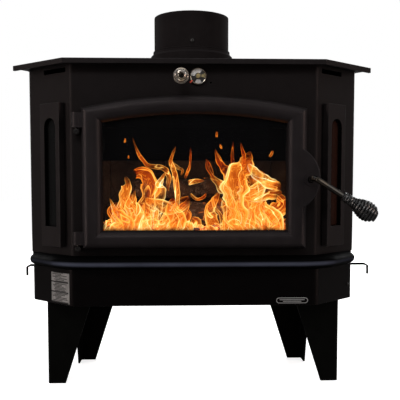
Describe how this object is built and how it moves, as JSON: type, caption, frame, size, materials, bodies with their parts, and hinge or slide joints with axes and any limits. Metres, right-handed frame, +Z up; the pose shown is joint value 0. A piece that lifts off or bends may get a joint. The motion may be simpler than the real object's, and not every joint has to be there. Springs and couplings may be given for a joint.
{
  "type": "wood burning stove",
  "caption": "Free-standing bay-front wood stove with a glazed arched door, arched side windows, a rounded shelf, bent legs, a round flue and a coil-handled latch.",
  "frame": {"origin": "on the floor, under the middle of the whole object's box (air rods, handle and blower included)", "axes": "+Z up, front of the stove (door) towards -Y, +X to the right of a person who faces the door"},
  "size_m": [0.892, 0.6558, 0.944],
  "materials": {
    "body_steel": "matte high-temperature black paint on steel sheet",
    "leg_steel": "matte black paint on bent plate",
    "flue_steel": "satin black painted stove pipe",
    "cast_iron": "matte black painted casting",
    "viewing_glass": "clear heat-proof ceramic glass, lightly smoked",
    "rope_seal": "woven glass-fibre rope",
    "firebrick": "sooty fired clay",
    "honeycomb": "coated ceramic honeycomb",
    "charred_wood": "split log, charred",
    "embers": "glowing embers and ash",
    "handle_steel": "heat-tinted steel rod",
    "coil_wire": "dark spring wire",
    "nickel_wire": "bright nickel plated spring wire",
    "dial_metal": "brushed dial face with a bright rim",
    "needle_red": "red tipped pointer",
    "label_plate": "blank etched plate",
    "motor_paint": "black enamel",
    "fan_metal": "zinc coated fan wheel",
    "gland_rubber": "moulded strain relief"
  },
  "bodies": {
    "stove": {"top_plate": "body_steel", "faceplate": "body_steel", "side_panel_left": "body_steel", "side_panel_right": "body_steel", "rear_panel": "body_steel", "base_plate": "body_steel", "hearth_shelf": "body_steel", "skirt": "body_steel", "firebox_shell": "body_steel", "baffle_plate": "body_steel", "air_wash_deflector": "body_steel", "latch_strike": "body_steel", "hinge_stub_upper": "body_steel", "hinge_stub_lower": "body_steel", "blower_housing": "body_steel", "leg_front_left": "leg_steel", "leg_front_right": "leg_steel", "leg_rear_left": "leg_steel", "leg_rear_right": "leg_steel", "flue_collar": "flue_steel", "flue_pipe": "flue_steel", "window_frame_left": "cast_iron", "window_frame_right": "cast_iron", "window_glass_left": "viewing_glass", "window_glass_right": "viewing_glass", "brick_back_1": "firebrick", "brick_back_2": "firebrick", "brick_back_3": "firebrick", "brick_back_4": "firebrick", "brick_back_5": "firebrick", "brick_left_1": "firebrick", "brick_left_2": "firebrick", "brick_right_1": "firebrick", "brick_right_2": "firebrick", "brick_floor": "firebrick", "catalytic_combustor": "honeycomb", "log_1": "charred_wood", "log_2": "charred_wood", "log_3": "charred_wood", "ember_bed": "embers", "hinge_pin_upper": "handle_steel", "hinge_pin_lower": "handle_steel", "thermometer_dial": "dial_metal", "rating_plate": "label_plate", "blower_motor": "motor_paint", "cord_gland": "gland_rubber"},
    "door": {"door_frame": "cast_iron", "door_glass": "viewing_glass", "glass_retainer": "body_steel", "door_gasket": "rope_seal"},
    "door_handle": {"door_handle_rod": "handle_steel", "door_handle_grip": "coil_wire", "latch_cam": "cast_iron"},
    "bypass_control": {"bypass_rod": "handle_steel", "bypass_grip": "nickel_wire", "bypass_damper": "body_steel"},
    "air_control_left": {"air_rod_left": "handle_steel"},
    "air_control_right": {"air_rod_right": "handle_steel"},
    "thermometer_needle": {"thermometer_pointer": "needle_red"},
    "blower_fan": {"blower_wheel": "fan_metal"}
  },
  "joints": [
    {"name": "door_swing", "type": "hinge", "parent": "stove", "child": "door", "pos_m": [-0.2775, -0.2541, 0.505], "axis": [0, 0, -1], "range_deg": [0, 120]},
    {"name": "handle_turn", "type": "hinge", "parent": "door", "child": "door_handle", "pos_m": [0.262, -0.2641, 0.505], "axis": [0, -1, 0], "range_deg": [0, 90]},
    {"name": "bypass_slide", "type": "slide", "parent": "stove", "child": "bypass_control", "axis": [0, -1, 0], "range_m": [0, 0.06]},
    {"name": "air_slide_left", "type": "slide", "parent": "stove", "child": "air_control_left", "axis": [-1, 0, 0], "range_m": [0, 0.028]},
    {"name": "air_slide_right", "type": "slide", "parent": "stove", "child": "air_control_right", "axis": [1, 0, 0], "range_m": [-0.028, 0]},
    {"name": "thermometer_turn", "type": "hinge", "parent": "stove", "child": "thermometer_needle", "pos_m": [0.002, -0.2441, 0.744], "axis": [0, 1, 0], "range_deg": [0, 250]},
    {"name": "blower_spin", "type": "hinge", "parent": "stove", "child": "blower_fan", "pos_m": [0.024, 0.2829, 0.257], "axis": [1, 0, 0], "continuous": true}
  ]
}
